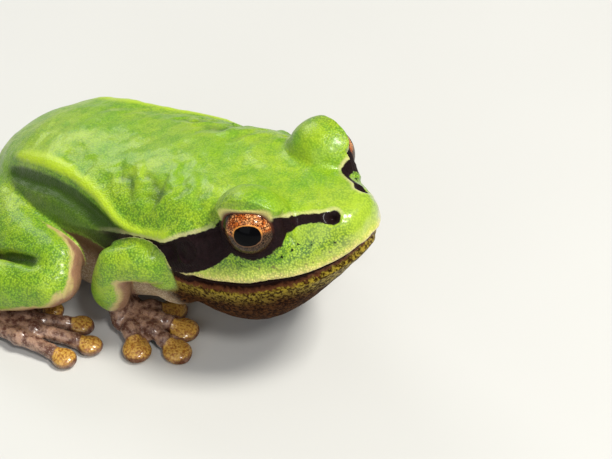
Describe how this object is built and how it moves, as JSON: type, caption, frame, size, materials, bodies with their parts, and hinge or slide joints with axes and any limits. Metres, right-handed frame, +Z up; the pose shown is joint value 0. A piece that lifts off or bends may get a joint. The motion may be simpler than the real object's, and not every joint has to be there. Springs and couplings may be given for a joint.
{
  "type": "european tree frog model",
  "caption": "Life-size still model of a european tree frog, resting low on its belly and feet with its head raised.",
  "frame": {"origin": "the centre of the flat under the belly, on the floor", "axes": "+X forward along the trunk, +Y to the frog's left, +Z up"},
  "size_m": [0.0343, 0.0291, 0.0167],
  "materials": {
    "body_skin": "moist, finely grained yellow green skin",
    "limb_skin": "moist, finely grained green skin",
    "digit_skin": "moist brown skin with golden brown toe discs",
    "eye": "wet, clear cornea over a copper iris"
  },
  "bodies": {
    "root": {"torso": "body_skin", "head": "body_skin", "eye_right": "eye", "eye_left": "eye", "upper_arm_right": "limb_skin", "forearm_right": "limb_skin", "hand_right": "digit_skin", "thigh_right": "limb_skin", "shank_right": "limb_skin", "ankle_right": "digit_skin", "foot_right": "digit_skin", "upper_arm_left": "limb_skin", "forearm_left": "limb_skin", "hand_left": "digit_skin", "thigh_left": "limb_skin", "shank_left": "limb_skin", "ankle_left": "digit_skin", "foot_left": "digit_skin"}
  },
  "joints": []
}
